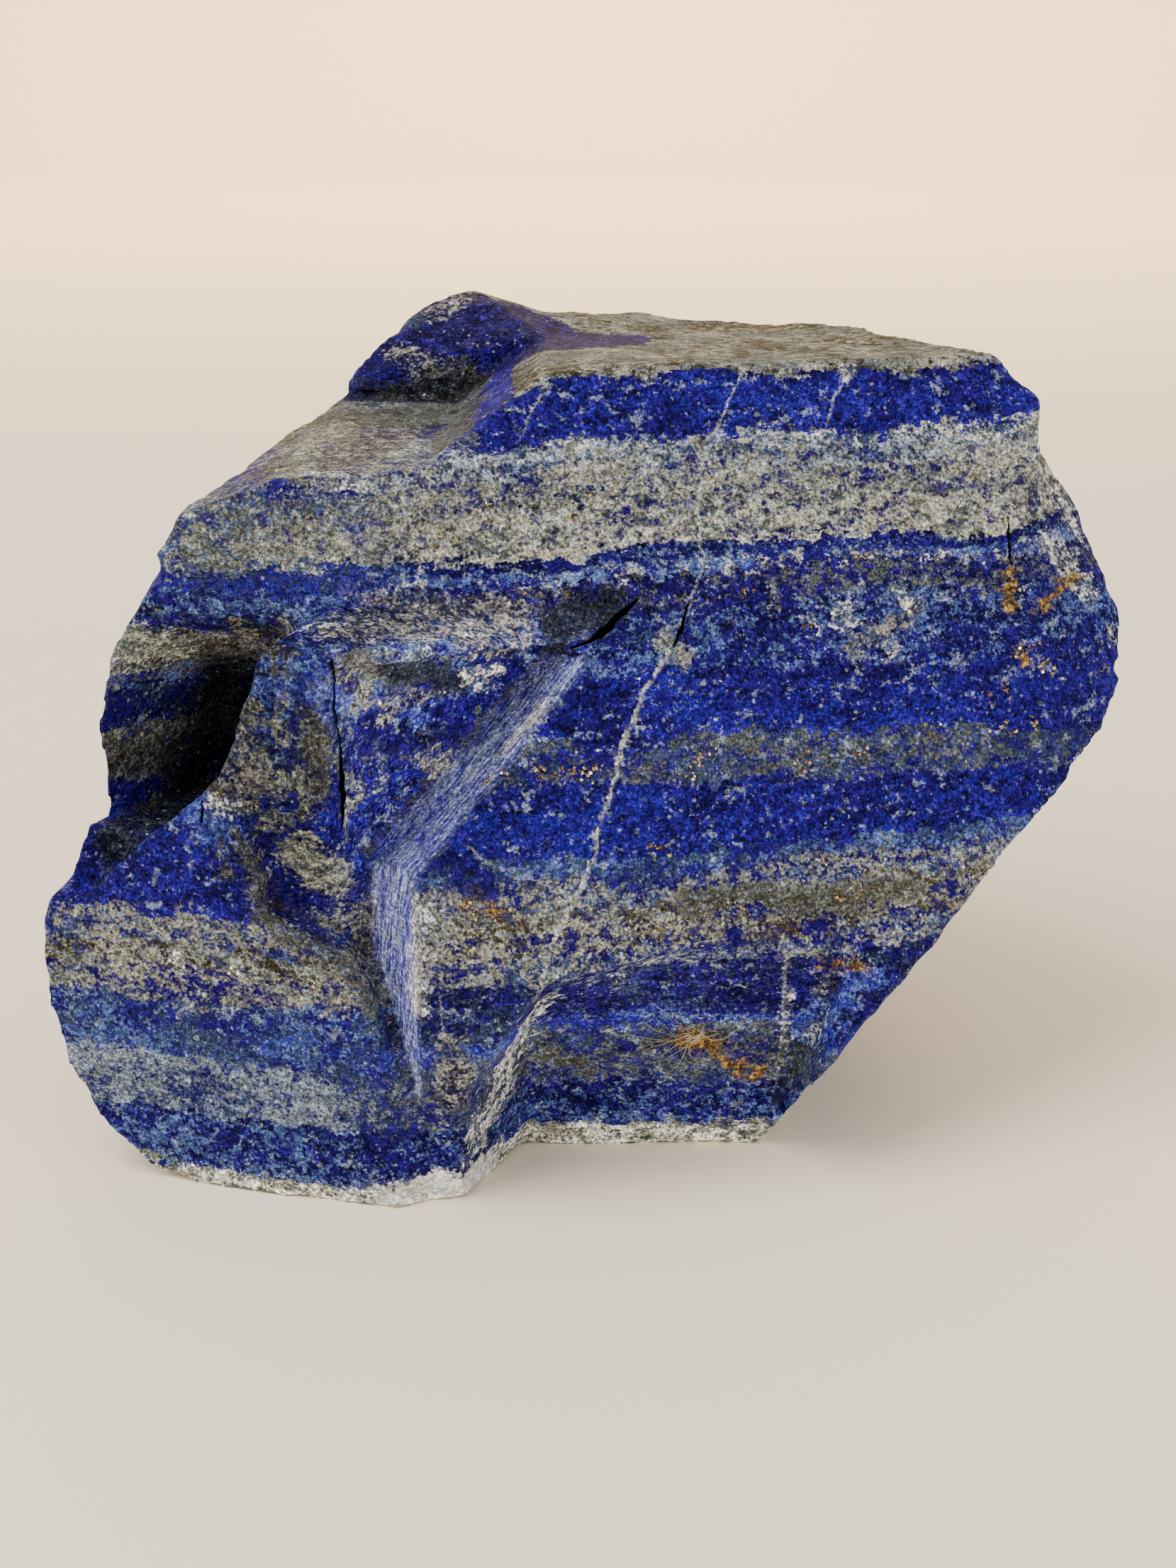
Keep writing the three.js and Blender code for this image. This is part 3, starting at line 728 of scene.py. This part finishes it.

# Patches of single minerals over the layers; the dark patches in hollows are partly painted shade.
blur = (grit - 0.5) * 0.7 + (clumps - 0.5) * 1.5 + (streaks - 0.5) * 1.0 - 0.5
in_beige, in_brown, in_pale = wire.attribute("patches_warm", 1).parts()
in_blue, in_rust, in_grey = wire.attribute("patches_cold", 1).parts()
in_dark_and_shaded, in_sky, in_white = wire.attribute("patches_deep", 1).parts()
spotted = (grit_two + (clumps_two - 0.5) * 1.2).step(0.36, 0.66)
for inside, low, high, share in ((in_blue, NAVY, DEEP, 0.92), (in_grey, NAVY, ASH, 0.82),
                                 (in_brown, OLIVE, GREY, 0.85), (in_dark_and_shaded, BLACK, MOSS, 0.92),
                                 (in_beige, GREY, BEIGE, 0.85), (in_sky, ROYAL, SKY, 0.80),
                                 (in_pale, SLATE, WHITE, 0.80), (in_rust, RUST, GOLD, 0.96),
                                 (in_white, DULL_CHALK, CHALK, 1.00)):
    colour = colour.mixed((inside + blur).step(-0.12, 0.20) * share, blend(spotted, low, high))

# The slip strips are combed along the way the rock slid.
for strip, share in ((STRIP_HIGH, strip_high), (STRIP_LOW, strip_low)):
    along = wire.vector("DOT_PRODUCT", here, tuple(strip[2]), out=1)
    across = wire.vector("DOT_PRODUCT", here, tuple(strip[1].cross(strip[2])), out=1)
    drawn_out = wire.node("ShaderNodeCombineXYZ", {}, {0: along * 0.16, 1: across, 2: 0.0})
    lines = wobble(0.30, 3.0, drawn_out, 0.6) * 0.7 + wobble(1.2, 2.0, drawn_out) * 0.3
    lines = lines + (in_pale - 0.5).step(-0.3, 0.3) * 0.09 + (blotches - 0.5) * 0.14
    ridges = blend(in_pale.step(0.35, 0.75), RIDGE_COLD, RIDGE_WARM)
    combed = blend(lines.step(0.38, 0.64), GROOVE_BLUE, ridges)
    colour = colour.mixed(share * 0.88, combed)

# Veins.
sway = (wobble(1.6, 2.0, elsewhere(7)) - 0.5) * 1.0 + (grit - 0.5) * 0.7
for index in range(len(VEINS)):
    off, half, shown = wire.attribute(f"vein_{index}", 1).parts()
    inside = (abs(off + sway) - half).step(0.12, -0.14)
    colour = colour.mixed(inside * shown * (clumps_two.step(0.36, 0.58) * 0.75 + 0.15), VEIN)

# Gold specks, worn edges that are pale, and painted shade in the creases.
specks = wire.node("ShaderNodeTexVoronoi", {}, {"Vector": elsewhere(12), "Scale": 1 / 0.8})
golden = specks.step(0.36, 0.22) * (much_gold * 0.11 + 0.31 - clumps_two).step(0.0, 0.03)
colour = colour.mixed(golden * much_gold.step(0.0, 0.2) * 0.85, GOLD)
colour = colour.mixed(edge.step(0.12, 0.45) * (clumps - 0.1).step(0.25, 0.55) * 0.38, SKY)
# Painted shade: concave creases are darkened.
colour = colour.mixed(edge.step(-0.10, -0.40) * 0.55, OLIVE)

# Each grain has its own tone, with painted shade in its pits and a painted highlight on its top;
# the large faces add their painted light and shade, and small crystals get painted glints.
fine = wobble(0.24, 1.0, elsewhere(8))
tone_and_painted_shade = (grit - 0.5) * 5.0 + (clumps - 0.5) * 3.0 + (fine - 0.5) * 4.5 + (clumps_two - 0.5) * 2.5
tone_and_painted_shade = tone_and_painted_shade * (1 - 0.6 * in_white.step(0.35, 0.65)) + wire.attribute("lift")
colour = colour.scaled(wire.math("POWER", 2.0, tone_and_painted_shade))
# Painted glints: small bright spots where a crystal would catch the light.
glint = wire.node("ShaderNodeTexVoronoi", {}, {"Vector": elsewhere(9), "Scale": 1 / 0.9})
painted_glint = glint.step(0.30, 0.14) * (grit_two - 0.53).step(0.0, 0.06)
colour = colour.mixed(painted_glint * 0.7, GLINT_PAINT)
# Painted shade: the floor of each crack is painted black.
colour = colour.mixed(crack.step(0.12, 0.5), BLACK)
wire.tree.links.new(colour.socket, shader.inputs["Base Color"])

height = grit * 0.8 + clumps * 1.5 + fine * 0.25 + clumps_two * 0.9
height = height * (1 - 0.6 * wire.math("MAXIMUM", strip_high, strip_low))
bump = wire.node("ShaderNodeBump", {}, {"Strength": 1.0, "Distance": 0.85 * MM, "Height": height})
wire.tree.links.new(bump.socket, shader.inputs["Normal"])
rough = 0.42 + grit_two * 0.3
wire.tree.links.new(rough.socket, shader.inputs["Roughness"])
shader.inputs["Specular IOR Level"].default_value = 0.03

stone.data.materials.clear()
stone.data.materials.append(stone_material)
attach(stone, "root")
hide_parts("stone")

# ---------------------------------------------------------------------------------------------
# Pyrite: brassy crystals that grew with the stone. Each is a small cube with blunt edges, sunk to
# about half its size in the surface.

# The clusters: the middle of each in the axes of the part's source, mm, and how many crystals.
CLUSTERS = [
    (-8.2, 6.4, 40.4, 7), (-4.5, 7.4, 40.3, 9), (-1.5, 8.5, 40.7, 8), (-0.2, 8.5, 39.8, 8),
    (8.9, 10.9, 39.3, 6), (10.2, 11.6, 40.0, 5), (19.9, 14.4, 39.8, 5), (20.7, 14.2, 39.0, 4),
    (25.9, 16.1, 39.8, 5), (40.2, 20.9, 41.1, 5), (43.1, 21.6, 40.9, 5), (5.9, 7.3, 33.2, 4),
    (7.2, 7.6, 33.1, 4), (22.3, 11.0, 30.8, 4), (26.5, 11.3, 28.7, 5), (-10.8, 0.9, 30.0, 8),
    (-7.3, 1.5, 28.9, 6), (41.3, 26.6, 53.2, 5), (42.1, 24.1, 47.1, 6), (44.7, 24.7, 45.8, 5),
    (-1.0, 18.6, 62.8, 5), (37.2, 30.4, 64.1, 3), (21.5, 20.0, 51.3, 3), (26.1, 23.9, 56.9, 3),
    (-16.6, 1.7, 52.6, 3), (3.3, 5.7, 21.0, 4), (24.0, 10.1, 27.6, 6), (43.6, 24.9, 47.4, 3),
    (44.5, 24.6, 45.9, 3), (45.8, 24.6, 44.5, 3), (-10.0, 17.5, 62.0, 4), (-14.0, 14.5, 60.5, 4),
    (-34.0, 3.4, 22.5, 3), (-25.0, 1.4, 22.0, 4), (12.0, 12.5, 41.0, 3), (33.0, 19.0, 41.5, 4),
    (14.0, 7.0, 27.5, 5), (6.0, 5.5, 25.5, 4), (31.0, 26.5, 60.0, 3), (15.0, 19.5, 54.5, 3),
]
SPREAD = (0.7, 0.7, 0.35)           # mm, how far crystals lie from the middle of their cluster
SIDES = (0.18, 0.38)                # mm, the smallest and the largest side of a crystal
BLUNT = 0.03                        # mm, the width taken off each edge
random.seed(11)
metal = bmesh.new()
for *middle, count in CLUSTERS:
    for _ in range(count):
        near = Vector(middle) + Vector([random.gauss(0, reach) for reach in SPREAD])
        seat = surface.find_nearest(place(*near))[0]
        axis = Vector([random.gauss(0, 1) for _ in range(3)]).normalized()
        turned = Matrix.Rotation(random.uniform(0, math.pi), 4, axis)
        size = random.uniform(*SIDES) * MM
        cube = bmesh.ops.create_cube(metal, size=size, matrix=Matrix.Translation(seat) @ turned)
        for vert in cube["verts"]:
            vert.co += Vector([random.gauss(0, 0.02) for _ in range(3)]) * MM
bmesh.ops.bevel(metal, geom=metal.edges[:], offset=BLUNT * MM, segments=1,
                profile=0.5, affect="EDGES", material=-1)
# Each face of a crystal gets a random brightness: painted light and shade of its facets.
painted_facet_layer = metal.faces.layers.float.new("facet")
for face in metal.faces:
    face[painted_facet_layer] = random.random()
pyrite = put_down("pyrite_crystals", metal)

pyrite_material, wire, shader = shades("brassy_pyrite")
coords = wire.node("ShaderNodeTexCoord", out=3)
tarnish = wire.node("ShaderNodeTexNoise", {}, {"Vector": coords, "Scale": 1 / (0.9 * MM),
                                               "Detail": 3.0})
facet = wire.attribute("facet")
# Brass colour with painted light and shade on each facet, under the tarnish.
brass_with_painted_facets = wire.node("ShaderNodeMix", {"data_type": "RGBA"},
                  {0: (facet * 0.9 + (tarnish - 0.5) * 1.2).step(0.15, 1.0),
                   6: (0.070, 0.035, 0.012, 1), 7: (0.950, 0.720, 0.380, 1)}, 2)
wire.tree.links.new(brass_with_painted_facets.socket, shader.inputs["Base Color"])
shader.inputs["Metallic"].default_value = 1.0
scratches = wire.node("ShaderNodeTexNoise", {}, {"Vector": coords, "Scale": 1 / (0.12 * MM),
                                                 "Detail": 2.0})
polish = 0.18 + scratches * 0.30
wire.tree.links.new(polish.socket, shader.inputs["Roughness"])
bump = wire.node("ShaderNodeBump", {}, {"Strength": 0.6, "Distance": 0.03 * MM,
                                        "Height": scratches})
wire.tree.links.new(bump.socket, shader.inputs["Normal"])
pyrite.data.materials.append(pyrite_material)
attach(pyrite, "root")

# ---------------------------------------------------------------------------------------------
# Fibre tuft: fine dry plant fibres caught on the rusty spot in the recess. They spring from one
# place and lie along the wall, most of them towards the left.

# The root in the axes of the part's source, mm. Then, for each fibre, the way it sets off in
# degrees, its length in mm and how much it curls.
ROOT = Vector((10.2, 9.7, 13.5))
STRANDS = [
    (185, 6.5, 0.6), (192, 5.6, -0.9), (200, 5.0, 0.7), (204, 6.0, 0.2), (172, 3.6, 1.6),
    (165, 3.0, 1.9), (178, 4.4, -1.4), (215, 4.0, 0.5), (150, 2.6, 1.8), (128, 2.8, -1.2),
    (100, 6.2, 0.9), (112, 3.0, 1.0), (262, 7.4, -0.9), (250, 3.2, 0.8), (232, 3.0, -0.9),
    (20, 1.8, 0.9), (-8, 2.4, -1.0), (-28, 3.2, 0.8), (40, 1.4, 1.4), (208, 4.6, -0.8),
    (62, 1.6, -1.6), (196, 7.6, -0.4), (-45, 2.0, 0.9), (188, 3.4, 2.1), (158, 2.8, -2.2),
    (170, 3.2, 2.8), (222, 3.8, -1.7), (145, 2.8, 2.4),
]
THICK = 0.034                       # mm, half the thickness of a fibre at its root
SPANS = 12                          # straight spans in each fibre
tuft = bmesh.new()
for bearing, length, curl in STRANDS:
    heading = math.radians(bearing)
    spot = ROOT + Vector((random.uniform(-0.7, 1.1), 0, random.uniform(-0.4, 0.4)))
    rise = random.uniform(0.25, 0.75)
    line = []
    for index in range(SPANS + 1):
        seat, outward = surface.find_nearest(place(*spot))[:2]
        share = index / SPANS
        line.append(seat + outward * (rise * math.sin(math.pi * share ** 0.8) + 0.02) * MM)
        heading += curl / SPANS + random.gauss(0, 0.05)
        spot = spot + Vector((math.cos(heading), 0, math.sin(heading))) * (length / SPANS)
    rings = []
    for index, co in enumerate(line):
        run = line[min(index + 1, SPANS)] - line[max(index - 1, 0)]
        facing = run.to_track_quat("Z", "Y").to_matrix().to_4x4()
        ring = bmesh.ops.create_circle(tuft, segments=4, matrix=Matrix.Translation(co) @ facing,
                                       radius=THICK * MM * (1 - 0.6 * index / SPANS))
        rings.append(list(dict.fromkeys(edge for vert in ring["verts"]
                                        for edge in vert.link_edges)))
    for lower, upper in zip(rings, rings[1:]):
        bmesh.ops.bridge_loops(tuft, edges=lower + upper)
bmesh.ops.holes_fill(tuft, edges=tuft.edges[:], sides=4)
for face in tuft.faces:
    face.smooth = True
bmesh.ops.recalc_face_normals(tuft, faces=tuft.faces[:])
fibres = put_down("fibre_tuft", tuft)

fibre_material, wire, shader = shades("dry_fibre")
coords = wire.node("ShaderNodeTexCoord", out=3)
bleach = wire.node("ShaderNodeTexNoise", {}, {"Vector": coords, "Scale": 1 / (2.2 * MM),
                                              "Detail": 3.0})
straw = wire.node("ShaderNodeMix", {"data_type": "RGBA"},
                  {0: bleach.step(0.35, 0.65), 6: (0.22, 0.12, 0.045, 1),
                   7: (0.62, 0.50, 0.34, 1)}, 2)
wire.tree.links.new(straw.socket, shader.inputs["Base Color"])
sheen = 0.40 + bleach * 0.3
wire.tree.links.new(sheen.socket, shader.inputs["Roughness"])
fibres.data.materials.append(fibre_material)
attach(fibres, "root")

# ---------------------------------------------------------------------------------------------
# The floor, the lights and the camera. The floor is a plain pale sweep that bends up into a wall.
# The room is bright and even, with a broad soft light from above on the left, a weak one low on the
# right and a warm one on the wall.

HALF = 1.6                          # m, half the side of the flat floor
BEND = 0.5                          # m, the radius of the bend behind it
WALL = 2.0                          # m, the height of the wall over the bend
sweep = bmesh.new()
bmesh.ops.create_grid(sweep, x_segments=1, y_segments=1, size=HALF)
back = [edge for edge in sweep.edges if all(vert.co.y > 0 for vert in edge.verts)]
bend_up = bmesh.ops.spin(sweep, geom=back, cent=(0, HALF, BEND), axis=(1, 0, 0), dvec=(0, 0, 0),
                         angle=math.radians(90), steps=16, use_merge=False, use_duplicate=False)
rim = [edge for edge in bend_up["geom_last"] if isinstance(edge, bmesh.types.BMEdge)]
wall = bmesh.ops.extrude_edge_only(sweep, edges=rim)
top = [vert for vert in wall["geom"] if isinstance(vert, bmesh.types.BMVert)]
bmesh.ops.translate(sweep, verts=top, vec=(0, 0, WALL))
for face in sweep.faces:
    face.smooth = True
floor = put_down("floor", sweep)
floor_material, _, floor_shader = shades("pale_floor")
floor_shader.inputs["Base Color"].default_value = (0.80, 0.71, 0.57, 1)
floor_shader.inputs["Roughness"].default_value = 0.9
floor.data.materials.append(floor_material)

world = bpy.data.worlds.new("soft_room")
bpy.context.scene.world = world
world.use_nodes = True
world.node_tree.nodes["Background"].inputs["Color"].default_value = (1.0, 0.96, 0.90, 1)
world.node_tree.nodes["Background"].inputs["Strength"].default_value = 1.28


def softbox(name, place_m, aim_m, size, power, colour):
    """A square area light that shines towards a point."""
    lamp = bpy.data.lights.new(name, "AREA")
    lamp.shape = "SQUARE"
    lamp.size = size
    lamp.energy = power
    lamp.color = colour
    holder = bpy.data.objects.new(name, lamp)
    holder.location = place_m
    holder.rotation_euler = (Vector(aim_m) - Vector(place_m)).to_track_quat("-Z", "Y").to_euler()
    bpy.context.scene.collection.objects.link(holder)


softbox("key", (-0.45, -0.30, 0.85), (0, 0, 0.04), 0.7, 11.0, (1.0, 0.98, 0.95))
softbox("fill", (0.70, -0.80, 0.12), (0, 0, 0.03), 0.6, 5.0, (1.0, 0.99, 0.97))
softbox("wash", (0.0, 1.0, 1.3), (0, 2.1, 0.6), 1.0, 74.0, (1.0, 0.70, 0.34))

EYE = (0.0, -197.0, 105.0)          # mm, where the camera stands, in the axes of the part's source
PITCH = 17.8                        # degrees that it looks down
lens = bpy.data.cameras.new("camera")
lens.lens = 54.08
lens.sensor_width = 36.0
camera = bpy.data.objects.new("camera", lens)
camera.location = place(*EYE)
camera.rotation_euler = (math.radians(90 - PITCH), 0.0, 0.0)
bpy.context.scene.collection.objects.link(camera)
bpy.context.scene.camera = camera
